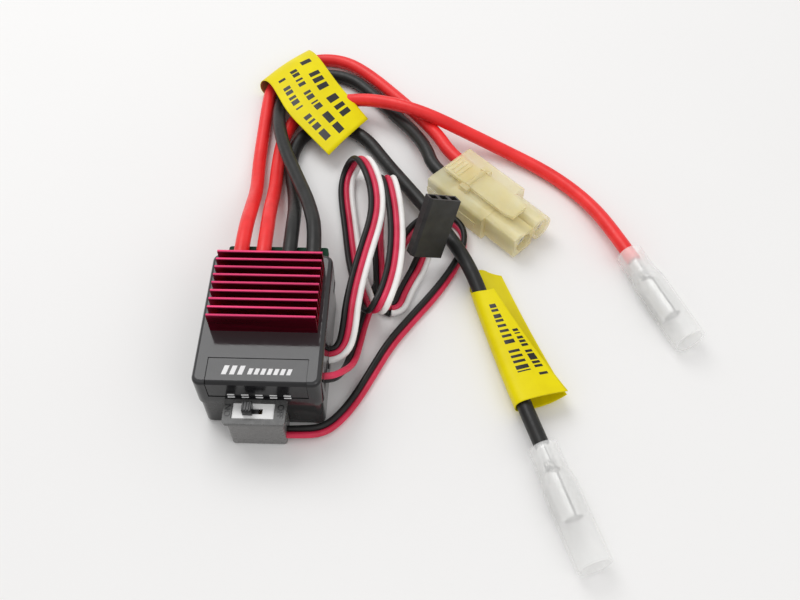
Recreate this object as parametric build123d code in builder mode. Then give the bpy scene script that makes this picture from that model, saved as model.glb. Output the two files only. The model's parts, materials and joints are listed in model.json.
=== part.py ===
from build123d import *
import os
from math import cos, pi, radians, sin, tan

# Brushed electronic speed controller with its leads, in millimetres, +Z up.
# The origin is the centre of the case's flat underside. +Y points to the end where the
# power wires leave, -Y to the end that carries the on/off switch.

os.makedirs("parts", exist_ok=True)

# ---- driving dimensions -----------------------------------------------------------------
case_width = 25.0
case_depth = 31.4
case_height = 16.0
parting_height = 8.2
wall = 1.2
cover_corner = 1.8
cover_top_round = 0.9
base_inset = 0.35

sink_width = 21.3
sink_depth = 16.2
sink_x = 0.3
sink_y = 4.3
sink_base_thickness = 0.9
sink_top = 21.2
fin_count = 9
fin_thickness = 0.62
pedestal_width = 17.0
pedestal_depth = 10.8
pedestal_bottom = 14.0

board_bottom = 9.6
board_thickness = 1.6
board_width = 20.5
board_front = -14.0
board_tail_width = 21.4
board_tail_end = 21.1

power_wire_diameter = 3.2
power_wire_height = 12.85
power_wire_start = 13.5
power_wire_x = {"battery_wire_red": -7.6, "motor_wire_red": -2.8,
                "motor_wire_black": 2.7, "battery_wire_black": 7.9}
wire_hole_clearance = 0.1

servo_lead_diameter = 2.7
servo_lead_exit = (-3.0, 6.4)
switch_lead_diameter = 2.2
switch_lead_exit = (-10.9, 10.7)

switch_x = -0.6
switch_front = -21.1
flange_width = 12.2
flange_top = 10.1
flange_thickness = 1.0
switch_body_width = 11.0
frame_width = 8.1
frame_depth = 3.35
frame_x = -0.87
frame_y = -18.15
frame_top = 9.8
knob_width = 1.9
knob_depth = 2.0
knob_top = 12.0
knob_x = -1.9
slider_travel = 2.0

plug_width = 14.2
plug_body_height = 7.0
plug_body_length = 17.5
plug_length = 26.8
plug_rear = (36.6, 50.5)
plug_yaw = -45.0
plug_wire_height = 4.6
plug_wire_offset = {"battery_wire_black": -2.3, "battery_wire_red": 3.7}

connector_width = 7.65
connector_length = 14.2
connector_thickness = 2.6
connector_near_top = (31.73, 23.66, 5.2)
connector_yaw = 56.6
connector_pitch = 58.7
connector_roll = 57.8

terminal_bore_radius = 2.0
terminal_bore_length = 8.0
sleeve_axis_height = 3.5


def finish(piece, name):
    """Label a finished piece and write it to its own STEP file."""
    piece.part.label = name
    export_step(piece.part, f"parts/{name}.step")


# ---- case base --------------------------------------------------------------------------
base_width = case_width - 2 * base_inset
base_depth = case_depth - 2 * base_inset
base_inner_width = base_width - 2 * wall
base_inner_depth = base_depth - 2 * wall
base_floor = 1.4
snap_y = (-7.4, 12.0)
snap_inner_x = base_inner_width / 2 - 0.55
snap_outer_x = case_width / 2 - wall - 0.1
servo_slot_bottom = servo_lead_exit[1] - 1.7
post_positions = [(-8.6, -12.2), (8.6, -12.2), (-8.6, 12.4), (8.6, 12.4)]

with BuildPart() as case_base:
    with BuildSketch():
        RectangleRounded(base_width, base_depth, cover_corner - base_inset)
    extrude(amount=parting_height)
    fillet(case_base.faces().sort_by(Axis.Z)[0].edges(), 0.5)
    with BuildSketch(Plane.XY.offset(base_floor)):
        RectangleRounded(base_inner_width, base_inner_depth, 0.8)
    extrude(amount=parting_height, mode=Mode.SUBTRACT)
    # sill that carries the board where it leaves through the end wall
    with BuildSketch(Plane.XY.offset(parting_height - 1)):
        with Locations((0, base_depth / 2 - wall / 2)):
            Rectangle(board_tail_width - 0.2, wall)
    extrude(amount=board_bottom - parting_height + 1)
    # posts under the board's corners
    with BuildSketch(Plane.XY.offset(base_floor - 0.2)):
        with Locations(*post_positions):
            Circle(1.0)
    extrude(amount=board_bottom - base_floor + 0.2)
    # snap tabs that stand up inside the cover's side walls, with their barbs
    for side in (-1, 1):
        tab_x = side * (snap_inner_x + snap_outer_x) / 2
        with BuildSketch(Plane.XY.offset(5.0)):
            with Locations(*[(tab_x, y) for y in snap_y]):
                Rectangle(snap_outer_x - snap_inner_x, 3.2)
        extrude(amount=5.6)
        with BuildSketch(Plane.XY.offset(9.0)):
            with Locations(*[(side * (snap_outer_x + 0.45), y) for y in snap_y]):
                Rectangle(1.0, 2.6)
        extrude(amount=0.9)
    # slot for the servo lead's grommet, open at the parting line
    with BuildSketch(Plane.XY.offset(servo_slot_bottom)):
        with Locations((base_width / 2, servo_lead_exit[0])):
            Rectangle(4 * wall, 4.6)
    extrude(amount=6, mode=Mode.SUBTRACT)
finish(case_base, "case_base")

# ---- case cover -------------------------------------------------------------------------
label_width = 19.6
label_back = -9.9
label_bottom = 10.8
label_seat_depth = 0.3
label_thickness = 0.18
roof_bottom = case_height - wall
wire_positions = [(x, power_wire_height) for x in power_wire_x.values()]
wire_hole_radius = power_wire_diameter / 2 + wire_hole_clearance
board_top = board_bottom + board_thickness
case_front = -case_depth / 2
seat_low = (case_front + label_seat_depth, label_bottom)
seat_bend_low = (case_front + label_seat_depth, case_height - cover_top_round)
seat_bend_high = (case_front + cover_top_round, case_height - label_seat_depth)
seat_back = (label_back, case_height - label_seat_depth)

with BuildPart() as case_cover:
    with BuildSketch(Plane.XY.offset(parting_height)):
        RectangleRounded(case_width, case_depth, cover_corner)
    extrude(amount=case_height - parting_height)
    fillet(case_cover.faces().sort_by(Axis.Z)[-1].edges(), cover_top_round)
    with BuildSketch(Plane.XY.offset(parting_height)):
        RectangleRounded(case_width - 2 * wall, case_depth - 2 * wall, 0.8)
    extrude(amount=roof_bottom - parting_height, mode=Mode.SUBTRACT)
    # window for the heatsink's pedestal
    with BuildSketch(Plane.XY.offset(roof_bottom - 1)):
        with Locations((sink_x, sink_y)):
            Rectangle(pedestal_width + 0.3, pedestal_depth + 0.3)
    extrude(amount=4, mode=Mode.SUBTRACT)
    # end wall: slot for the board, and a round-topped notch over each power wire
    with BuildSketch(Plane(origin=(0, case_depth / 2 + 1, 0), x_dir=(-1, 0, 0), z_dir=(0, 1, 0))):
        with Locations((0, (parting_height + board_top) / 2)):
            Rectangle(board_tail_width + 0.3, board_top - parting_height + 0.1)
        for x, z in wire_positions:
            with Locations((-x, z)):
                Circle(wire_hole_radius)
            with Locations((-x, (z + parting_height) / 2)):
                Rectangle(2 * wire_hole_radius, z - parting_height)
    extrude(amount=-wall - 1.8, mode=Mode.SUBTRACT)
    # windows for the base's snap barbs
    for side in (-1, 1):
        with BuildSketch(Plane.XY.offset(8.8)):
            with Locations(*[(side * case_width / 2, y) for y in snap_y]):
                Rectangle(3 * wall, 3.0)
        extrude(amount=1.4, mode=Mode.SUBTRACT)
    # slot for the switch lead's grommet
    with BuildSketch(Plane.XY.offset(parting_height)):
        with Locations((case_width / 2, switch_lead_exit[0])):
            Rectangle(4 * wall, 3.6)
    extrude(amount=switch_lead_exit[1] + 1.8 - parting_height, mode=Mode.SUBTRACT)
    # shallow seat for the label plate, over the roof and down the front
    with BuildSketch(Plane.YZ.offset(-label_width / 2)):
        with BuildLine():
            Polyline((case_front - 1, label_bottom), seat_low, seat_bend_low, seat_bend_high,
                     seat_back, (label_back, case_height + 1), (case_front - 1, case_height + 1),
                     (case_front - 1, label_bottom))
        make_face()
    extrude(amount=label_width, mode=Mode.SUBTRACT)
finish(case_cover, "case_cover")

# ---- label plate, heatsink and thermal pad ----------------------------------------------
label_margin = 0.12

with BuildPart() as label_plate:
    with BuildSketch(Plane.YZ.offset(-label_width / 2 + label_margin)):
        with BuildLine():
            outer_y = seat_low[0] - label_thickness
            outer_z = seat_back[1] + label_thickness
            Polyline((seat_low[0], label_bottom + label_margin), seat_bend_low, seat_bend_high,
                     (label_back - label_margin, seat_back[1]),
                     (label_back - label_margin, outer_z),
                     (seat_bend_high[0] - 0.07, outer_z), (outer_y, seat_bend_low[1] + 0.07),
                     (outer_y, label_bottom + label_margin),
                     (seat_low[0], label_bottom + label_margin))
        make_face()
    extrude(amount=label_width - 2 * label_margin)
finish(label_plate, "label_plate")

fin_pitch = (sink_depth - fin_thickness) / (fin_count - 1)
sink_base_top = case_height + sink_base_thickness

with BuildPart() as heatsink:
    with BuildSketch(Plane.XY.offset(case_height)):
        with Locations((sink_x, sink_y)):
            Rectangle(sink_width, sink_depth)
    extrude(amount=sink_base_thickness)
    with BuildSketch(Plane.XY.offset(sink_base_top)):
        with Locations((sink_x, sink_y)):
            with GridLocations(0, fin_pitch, 1, fin_count):
                Rectangle(sink_width, fin_thickness)
    extrude(amount=sink_top - sink_base_top)
    fin_tops = heatsink.faces().filter_by(Axis.Z).group_by(Axis.Z)[-1]
    chamfer(fin_tops.edges().filter_by(Axis.X), 0.12)
    with BuildSketch(Plane.XY.offset(pedestal_bottom)):
        with Locations((sink_x, sink_y)):
            Rectangle(pedestal_width, pedestal_depth)
    extrude(amount=case_height - pedestal_bottom)
finish(heatsink, "heatsink")

pad_thickness = 0.5
pad_bottom = pedestal_bottom - pad_thickness

with BuildPart() as thermal_pad:
    with BuildSketch(Plane.XY.offset(pad_bottom)):
        with Locations((sink_x, sink_y)):
            Rectangle(pedestal_width - 0.6, pedestal_depth - 0.4)
    extrude(amount=pad_thickness)
finish(thermal_pad, "thermal_pad")

# ---- circuit board and what is soldered to it -------------------------------------------
with BuildPart() as circuit_board:
    body_depth = case_depth / 2 - wall + 0.1 - board_front
    with BuildSketch(Plane.XY.offset(board_bottom)):
        with Locations((0, board_front + body_depth / 2)):
            Rectangle(board_width, body_depth)
        with Locations((0, board_front + body_depth)):
            Rectangle(board_tail_width, board_tail_end - board_front - body_depth,
                      align=(Align.CENTER, Align.MIN))
    extrude(amount=board_thickness)
    fillet(circuit_board.edges().filter_by(Axis.Z).group_by(Axis.Y)[-1], 0.6)
    # plated holes in the tail, one beside each power wire
    with BuildSketch(Plane.XY.offset(board_bottom)):
        with Locations(*[(x + 2.4, board_tail_end - 1.4) for x in (-7.6, -0.1, 5.3)]):
            Circle(0.45)
    extrude(amount=board_thickness, mode=Mode.SUBTRACT)
finish(circuit_board, "circuit_board")

with BuildPart() as power_transistors:
    with BuildSketch(Plane.XY.offset(board_top)):
        with Locations((sink_x, sink_y)):
            with GridLocations(8.2, 5.3, 2, 2):
                Rectangle(7.4, 4.9)
    extrude(amount=pad_bottom - board_top)
finish(power_transistors, "power_transistors")

solder_length = 3.1
with BuildPart() as solder_joints:
    with BuildSketch(Plane.XY.offset(board_top)):
        with Locations(*[(x, power_wire_start - solder_length / 2) for x in power_wire_x.values()]):
            Rectangle(2.6, solder_length)
    extrude(amount=2.4)
    fillet(solder_joints.faces().group_by(Axis.Z)[-1].edges().filter_by(Axis.Y), 0.9)
finish(solder_joints, "solder_joints")

capacitor_radius = 3.15
for number, y in enumerate((4.6, -3.4), start=1):
    with BuildPart() as capacitor:
        middle = board_bottom - capacitor_radius
        with BuildSketch(Plane(origin=(-7.6, y, middle), z_dir=(1, 0, 0))):
            Circle(capacitor_radius)
        extrude(amount=11.0)
        # rolled rim near the leads
        with BuildSketch(Plane(origin=(2.0, y, middle), z_dir=(1, 0, 0))):
            Circle(capacitor_radius)
            Circle(capacitor_radius - 0.25, mode=Mode.SUBTRACT)
        extrude(amount=0.6, mode=Mode.SUBTRACT)
    finish(capacitor, f"capacitor_{number}")

with BuildPart() as controller_chip:
    with BuildSketch(Plane.XY.offset(board_bottom - 1.4)):
        with Locations((3.4, -10.4)):
            Rectangle(5.6, 5.6)
    extrude(amount=1.4)
finish(controller_chip, "controller_chip")

with BuildPart() as voltage_regulator:
    with BuildSketch(Plane.XY.offset(board_bottom - 2.3)):
        with Locations((-4.4, -10.4)):
            Rectangle(6.2, 5.6)
    extrude(amount=2.3)
finish(voltage_regulator, "voltage_regulator")

with BuildPart() as surface_parts:
    with BuildSketch(Plane.XY.offset(board_top)):
        with Locations((-3.0, -8.0)):
            with GridLocations(2.4, 2.6, 4, 3):
                Rectangle(1.6, 0.8)
        with Locations((6.6, -7.4)):
            Rectangle(3.2, 5.0)
    extrude(amount=0.8)
finish(surface_parts, "surface_parts")

# ---- lead grommets ----------------------------------------------------------------------
grommet_gap = 0.05

with BuildPart() as servo_lead_grommet:
    slot_y, lead_z = servo_lead_exit
    with BuildSketch(Plane.YZ.offset(base_inner_width / 2 - 0.5)):
        with Locations((slot_y, (servo_slot_bottom + parting_height) / 2)):
            Rectangle(4.6 - 2 * grommet_gap, parting_height - servo_slot_bottom - 2 * grommet_gap)
    extrude(amount=case_width / 2 - base_inner_width / 2 + 0.5)
    with BuildSketch(Plane.YZ.offset(base_inner_width / 2 - 0.5)):
        with Locations((slot_y, (servo_slot_bottom + parting_height) / 2 - 0.25)):
            Rectangle(5.2, parting_height - servo_slot_bottom + 0.3)
    extrude(amount=0.45)
    with BuildSketch(Plane.YZ.offset(base_inner_width / 2 - 1)):
        with Locations((slot_y, lead_z)):
            Circle(servo_lead_diameter / 2 + grommet_gap)
    extrude(amount=4, mode=Mode.SUBTRACT)
finish(servo_lead_grommet, "servo_lead_grommet")

with BuildPart() as switch_lead_grommet:
    slot_y, lead_z = switch_lead_exit
    slot_top = lead_z + 1.8
    with BuildSketch(Plane.YZ.offset(case_width / 2 - wall)):
        with Locations((slot_y, (slot_top + parting_height) / 2)):
            Rectangle(3.6 - 2 * grommet_gap, slot_top - parting_height - 2 * grommet_gap)
    extrude(amount=wall)
    with BuildSketch(Plane.YZ.offset(case_width / 2 - 2 * wall)):
        with Locations((slot_y, lead_z)):
            Circle(switch_lead_diameter / 2 + grommet_gap)
    extrude(amount=4, mode=Mode.SUBTRACT)
finish(switch_lead_grommet, "switch_lead_grommet")

# ---- on/off slide switch ----------------------------------------------------------------
base_front = -base_depth / 2
flange_bottom = flange_top - flange_thickness
body_front = switch_front + 0.8
body_depth = base_front - body_front
lead_entry_y = -18.5
lead_entry_z = 2.2

with BuildPart() as switch_housing:
    with BuildSketch():
        with Locations((switch_x, body_front + body_depth / 2)):
            Rectangle(switch_body_width, body_depth)
    extrude(amount=flange_bottom)
    # the cover stands further out than the base
    with BuildSketch(Plane.XY.offset(parting_height)):
        with Locations((switch_x, case_front)):
            Rectangle(flange_width, 2, align=(Align.CENTER, Align.MIN))
    extrude(amount=2, mode=Mode.SUBTRACT)
    fillet(switch_housing.edges().filter_by(Axis.Z).group_by(Axis.Y)[0], 0.6)
    fillet(switch_housing.faces().sort_by(Axis.Z)[0].edges().group_by(Axis.Y)[0], 0.4)
    with BuildSketch(Plane.XY.offset(flange_bottom)):
        with Locations((switch_x, (switch_front + case_front) / 2)):
            Rectangle(flange_width, case_front - switch_front)
    extrude(amount=flange_thickness)
    flange_corners = switch_housing.edges().filter_by(Axis.Z).group_by(Axis.Y)[0]
    fillet(flange_corners, 0.7)
    # recess that takes the switch, and the hollow below it
    with BuildSketch(Plane.XY.offset(flange_bottom - 1)):
        with Locations((frame_x, frame_y)):
            Rectangle(frame_width + 0.2, frame_depth + 0.15)
    extrude(amount=3, mode=Mode.SUBTRACT)
    with BuildSketch(Plane.XY.offset(1.0)):
        with Locations((switch_x, frame_y + 0.15)):
            Rectangle(9.2, 3.8)
    extrude(amount=flange_bottom - 1.0, mode=Mode.SUBTRACT)
    with BuildSketch(Plane.YZ.offset(switch_x + switch_body_width / 2 + 1)):
        with Locations((lead_entry_y, lead_entry_z)):
            Circle(switch_lead_diameter / 2 + 0.05)
    extrude(amount=-2.5, mode=Mode.SUBTRACT)
finish(switch_housing, "switch_housing")

plate_thickness = 0.35
fold_thickness = 0.3
fold_drop = 3.35
slot_x = knob_x + slider_travel / 2
stem_width = 1.6
stem_depth = 1.1

with BuildPart() as switch_frame:
    with BuildSketch(Plane.XY.offset(frame_top - plate_thickness)):
        with Locations((frame_x, frame_y)):
            Rectangle(frame_width, frame_depth)
        with Locations((slot_x, frame_y)):
            Rectangle(stem_width + slider_travel + 0.1, stem_depth + 0.1, mode=Mode.SUBTRACT)
    extrude(amount=plate_thickness)
    with BuildSketch(Plane.XY.offset(frame_top - fold_drop)):
        with Locations((frame_x, frame_y)):
            with GridLocations(0, frame_depth - fold_thickness, 1, 2):
                Rectangle(frame_width, fold_thickness)
    extrude(amount=fold_drop - plate_thickness)
finish(switch_frame, "switch_frame")

insulator_bottom = frame_top - 3.2
insulator_thickness = 0.8
terminal_x = [frame_x + 2.53 * step for step in (-1, 0, 1)]
inside_folds = frame_depth - 2 * fold_thickness

with BuildPart() as switch_base:
    with BuildSketch(Plane.XY.offset(insulator_bottom)):
        with Locations((frame_x, frame_y)):
            Rectangle(frame_width, inside_folds)
        with Locations(*[(x, frame_y) for x in terminal_x]):
            Rectangle(1.0, 0.6, mode=Mode.SUBTRACT)
    extrude(amount=insulator_thickness)
finish(switch_base, "switch_base")

pad_level = insulator_bottom + insulator_thickness
with BuildPart() as switch_terminals:
    with BuildSketch(Plane.XY.offset(pad_level)):
        with Locations(*[(x, frame_y) for x in terminal_x]):
            Rectangle(1.7, 1.9)
    extrude(amount=0.35)
    with BuildSketch(Plane.XY.offset(pad_level - 4.0)):
        with Locations(*[(x, frame_y) for x in terminal_x]):
            Rectangle(0.9, 0.5)
    extrude(amount=4.0)
finish(switch_terminals, "switch_terminals")

carriage_bottom = 8.3
with BuildPart() as switch_contact:
    with BuildSketch(Plane.XY.offset(pad_level + 0.4)):
        with Locations((knob_x, frame_y)):
            Rectangle(3.4, 1.6)
    extrude(amount=carriage_bottom - pad_level - 0.4)
    fillet(switch_contact.faces().sort_by(Axis.Z)[0].edges().filter_by(Axis.Y), 0.2)
finish(switch_contact, "switch_contact")

with BuildPart() as switch_knob:
    with BuildSketch(Plane.XY.offset(carriage_bottom)):
        with Locations((knob_x, frame_y)):
            Rectangle(4.0, inside_folds - 0.15)
    extrude(amount=frame_top - plate_thickness - 0.05 - carriage_bottom)
    with BuildSketch(Plane.XY.offset(carriage_bottom)):
        with Locations((knob_x, frame_y)):
            Rectangle(stem_width, stem_depth)
    extrude(amount=frame_top + 0.1 - carriage_bottom)
    with BuildSketch(Plane.XY.offset(frame_top + 0.05)):
        with Locations((knob_x, frame_y + 0.05)):
            Rectangle(knob_width, knob_depth)
    extrude(amount=knob_top - frame_top - 0.05)
    fillet(switch_knob.faces().sort_by(Axis.Z)[-1].edges(), 0.15)
    # finger grooves across the direction of travel
    with BuildSketch(Plane.XY.offset(knob_top - 0.25)):
        with Locations((knob_x, frame_y + 0.05)):
            with GridLocations(0.55, 0, 3, 1):
                Rectangle(0.22, knob_depth + 1)
    extrude(amount=1, mode=Mode.SUBTRACT)
finish(switch_knob, "switch_knob")

# ---- leads: straight runs joined by tangent arcs ----------------------------------------
def bend_radii(points):
    """Radius of each corner: 0.45 of the shorter run over the tangent of half the turn."""
    radii = []
    for before, corner, after in zip(points, points[1:], points[2:]):
        run_in = Vector(*corner) - Vector(*before)
        run_out = Vector(*after) - Vector(*corner)
        half_turn = radians(run_in.get_angle(run_out)) / 2
        radii.append(0.45 * min(run_in.length, run_out.length) / tan(half_turn))
    return radii


def lead(name, points, diameter):
    """One lead of round section along its route, with its radii and volume printed."""
    radii = bend_radii(points)
    with BuildPart() as cord:
        with BuildLine() as route:
            FilletPolyline(*points, radius=radii)
        path = route.wires()[0]
        with BuildSketch(Plane(origin=path @ 0, z_dir=path % 0)):
            Circle(diameter / 2)
        sweep(path=path)
    expected = path.length * pi * diameter ** 2 / 4
    tightest = min(radii) / diameter
    print(f"{name}: length {path.length:.1f} volume {cord.part.volume:.0f} of {expected:.0f}, "
          f"tightest bend {tightest:.1f} diameters")
    print("   radii", " ".join(f"{radius:.1f}" for radius in radii))
    finish(cord, name)


def leave_case(name):
    """First two points of a power wire: from its solder joint straight out over the board."""
    x = power_wire_x[name]
    return [(x, power_wire_start, power_wire_height), (x, 23.8, power_wire_height + 0.1)]


plug_axis = Vector(cos(radians(plug_yaw)), sin(radians(plug_yaw)), 0)
plug_across = Vector(-plug_axis.Y, plug_axis.X, 0)
plug_wire_depth = 3.5


def enter_plug(name):
    """Last two points of a battery wire, straight into the back of the plug."""
    mouth = Vector(*plug_rear, plug_wire_height) + plug_across * plug_wire_offset[name]
    before = mouth - plug_axis * 3.0
    end = mouth + plug_axis * plug_wire_depth
    return [tuple(before), tuple(end)]


motor_ends = {
    "red": dict(wire="motor_wire_red", wire_end=(76.49, 27.89), direction=(0.414, -0.910),
                sleeve_start=0.9),
    "black": dict(wire="motor_wire_black", wire_end=(54.15, -17.7), direction=(0.331, -0.944),
                  sleeve_start=3.6),
}


def enter_terminal(colour):
    """Last two points of a motor wire, straight and level into its terminal."""
    end = motor_ends[colour]
    crimp = Vector(*end["wire_end"], sleeve_axis_height)
    before = crimp - Vector(*end["direction"], 0).normalized() * 8.0
    return [tuple(before), tuple(crimp)]


power_routes = {
    "battery_wire_red": leave_case("battery_wire_red") + [
        (-8.0, 34.2, 8.7), (-8.8, 44.0, 3.4), (-10.3, 54.2, 1.7), (-10.9, 64.2, 1.8),
        (-10.9, 74.0, 1.7), (-11.0, 82.5, 1.7), (-8.0, 89.2, 1.7), (-1.2, 92.8, 1.7),
        (6.5, 92.4, 1.7), (13.4, 87.6, 1.7), (20.5, 80.2, 1.8), (27.0, 71.2, 2.5),
        (32.4, 61.7, 4.2)] + enter_plug("battery_wire_red"),
    "battery_wire_black": leave_case("battery_wire_black") + [
        (5.3, 34.0, 10.6), (1.6, 43.4, 8.4), (-2.2, 52.6, 7.2), (-5.2, 61.6, 5.6),
        (-6.8, 70.2, 3.4), (-6.6, 77.5, 1.7), (-2.8, 83.6, 1.7), (3.9, 86.3, 1.7),
        (11.0, 84.8, 1.7), (16.3, 79.2, 1.7), (21.8, 72.0, 2.0), (26.2, 65.0, 3.4),
        (29.8, 58.4, 4.6)] + enter_plug("battery_wire_black"),
    "motor_wire_red": leave_case("motor_wire_red") + [
        (-3.7, 34.2, 8.7), (-4.4, 44.0, 3.4), (-5.1, 54.0, 1.7), (-4.8, 63.6, 1.7),
        (-1.4, 71.8, 1.7), (6.2, 74.8, 2.6), (14.4, 73.4, 5.3), (22.6, 70.4, 6.9),
        (31.2, 67.4, 6.9), (41.0, 63.6, 4.4), (51.0, 59.4, 1.8), (61.0, 52.3, 1.7),
        (68.4, 43.8, 1.8)] + enter_terminal("red"),
    "motor_wire_black": leave_case("motor_wire_black") + [
        (1.9, 34.0, 8.6), (0.3, 43.0, 3.6), (-1.4, 50.6, 1.8), (-1.9, 58.4, 1.7),
        (1.4, 66.0, 1.7), (8.8, 67.8, 1.7), (15.8, 63.8, 1.7), (21.4, 54.8, 1.9),
        (26.2, 47.2, 2.9), (31.0, 39.4, 4.1), (35.8, 31.0, 4.1), (40.2, 22.0, 4.0),
        (44.6, 10.6, 1.9), (48.0, 0.4, 1.7)] + enter_terminal("black"),
}
for name, points in power_routes.items():
    lead(name, points, power_wire_diameter)

# ---- battery plug -----------------------------------------------------------------------
plug_floor = 0.05
cavity_height = 3.9
cavity_radius = 2.6
cavity_x = 3.0
prong_radius = 3.0
contact_radius = 1.7
contact_bore = 1.15
contact_start = 5.0
contact_end = plug_length - 1.2
lever_bottom = plug_body_height + 0.5
lever_thickness = 0.8
lever_width = 5.6
pivot_along = 8.5
pivot_height = 7.9
pivot_radius = 0.4

# frames of the plug: seen from behind, x across and y up, z along the plug
plug_origin = Vector(*plug_rear, plug_floor)


def plug_section(along):
    """Plane across the plug at a distance from its back face, x to one side and y up."""
    return Plane(origin=plug_origin + plug_axis * along, x_dir=plug_across, z_dir=plug_axis)


def plug_level(height):
    """Plane level with the floor at a height in the plug, x along it and y across."""
    return Plane(origin=plug_origin + Vector(0, 0, height), x_dir=plug_axis, z_dir=(0, 0, 1))


def plug_side(across):
    """Upright plane along the plug, x along it and y up."""
    return Plane(origin=plug_origin + plug_across * across, x_dir=plug_axis,
                 z_dir=plug_across * -1)


with BuildPart() as battery_plug_housing:
    with BuildSketch(plug_section(0)):
        with Locations((0, plug_body_height / 2)):
            RectangleRounded(plug_width, plug_body_height, 0.8)
    extrude(amount=plug_body_length)
    # one square and one round prong, so that the plug goes in one way only
    with BuildSketch(plug_section(plug_body_length - 1)):
        with Locations((cavity_x, cavity_height)):
            Circle(prong_radius)
        with Locations((-cavity_x - 0.15, cavity_height)):
            RectangleRounded(2 * prong_radius - 0.1, 2 * prong_radius - 0.1, 0.4)
    extrude(amount=plug_length - plug_body_length + 1)
    # rails that stiffen the two long sides
    with BuildSketch(plug_section(0)):
        with Locations((0, plug_body_height / 2)):
            Rectangle(plug_width + 0.5, 1.6)
            Rectangle(plug_width - 0.4, 1.6, mode=Mode.SUBTRACT)
    extrude(amount=plug_body_length - 2)
    # cavities for the wires, and a stepped bore for each contact
    with BuildSketch(plug_section(-1)):
        with Locations((-cavity_x, cavity_height), (cavity_x, cavity_height)):
            Circle(cavity_radius)
    extrude(amount=plug_body_length - 2.5, mode=Mode.SUBTRACT)
    with BuildSketch(plug_section(0)):
        with Locations((-cavity_x, cavity_height), (cavity_x, cavity_height)):
            Circle(contact_radius + 0.02)
    extrude(amount=plug_length - 4, mode=Mode.SUBTRACT)
    with BuildSketch(plug_section(plug_length - 8)):
        with Locations((-cavity_x, cavity_height), (cavity_x, cavity_height)):
            Circle(contact_radius + 0.5)
    extrude(amount=9, mode=Mode.SUBTRACT)
    # ears that hold the latch's pivot
    with BuildSketch(plug_level(plug_body_height - 0.2)):
        with Locations((pivot_along, 0)):
            with GridLocations(0, lever_width + 1.6, 1, 2):
                Rectangle(2.4, 1.2)
    extrude(amount=pivot_height + 0.7 - plug_body_height)
    with BuildSketch(plug_side(-lever_width)):
        with Locations((pivot_along, pivot_height)):
            Circle(pivot_radius)
    extrude(amount=-2 * lever_width, mode=Mode.SUBTRACT)
finish(battery_plug_housing, "battery_plug_housing")

with BuildPart() as battery_plug_pivot:
    with BuildSketch(plug_side(-lever_width / 2 - 1.4)):
        with Locations((pivot_along, pivot_height)):
            Circle(pivot_radius)
    extrude(amount=-lever_width - 2.8)
finish(battery_plug_pivot, "battery_plug_pivot")

with BuildPart() as battery_plug_latch:
    with BuildSketch(plug_level(lever_bottom)):
        with BuildLine():
            Polyline((1.2, -lever_width / 2), (20.5, -lever_width / 2), (22.4, -2.2),
                     (22.4, 2.2), (20.5, lever_width / 2), (1.2, lever_width / 2),
                     (1.2, -lever_width / 2))
        make_face()
    extrude(amount=lever_thickness)
    # boss round the pivot
    with BuildSketch(plug_side(-lever_width / 2)):
        with Locations((pivot_along, pivot_height)):
            Circle(0.75)
    extrude(amount=-lever_width)
    # hook under the front end, and the press pad's ribs on the back end
    with BuildSketch(plug_level(plug_body_height + 0.1)):
        with Locations((21.5, 0)):
            Rectangle(1.6, 4.2)
    extrude(amount=0.5)
    with BuildSketch(plug_level(lever_bottom + lever_thickness)):
        with Locations((3.3, 0)):
            with GridLocations(1.2, 0, 4, 1):
                Rectangle(0.5, lever_width - 1.2)
    extrude(amount=0.25)
    with BuildSketch(plug_side(-lever_width)):
        with Locations((pivot_along, pivot_height)):
            Circle(pivot_radius + 0.05)
    extrude(amount=-2 * lever_width, mode=Mode.SUBTRACT)
finish(battery_plug_latch, "battery_plug_latch")

with BuildPart() as battery_plug_contacts:
    with BuildSketch(plug_section(contact_start)):
        with Locations((-cavity_x, cavity_height), (cavity_x, cavity_height)):
            Circle(contact_radius - 0.3)
    extrude(amount=contact_end - contact_start)
    with BuildSketch(plug_section(plug_body_length - 2)):
        with Locations((-cavity_x, cavity_height), (cavity_x, cavity_height)):
            Circle(contact_radius)
    extrude(amount=contact_end - plug_body_length + 2)
    with BuildSketch(plug_section(contact_end)):
        with Locations((-cavity_x, cavity_height), (cavity_x, cavity_height)):
            Circle(contact_bore)
    extrude(amount=-6, mode=Mode.SUBTRACT)
finish(battery_plug_contacts, "battery_plug_contacts")

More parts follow.
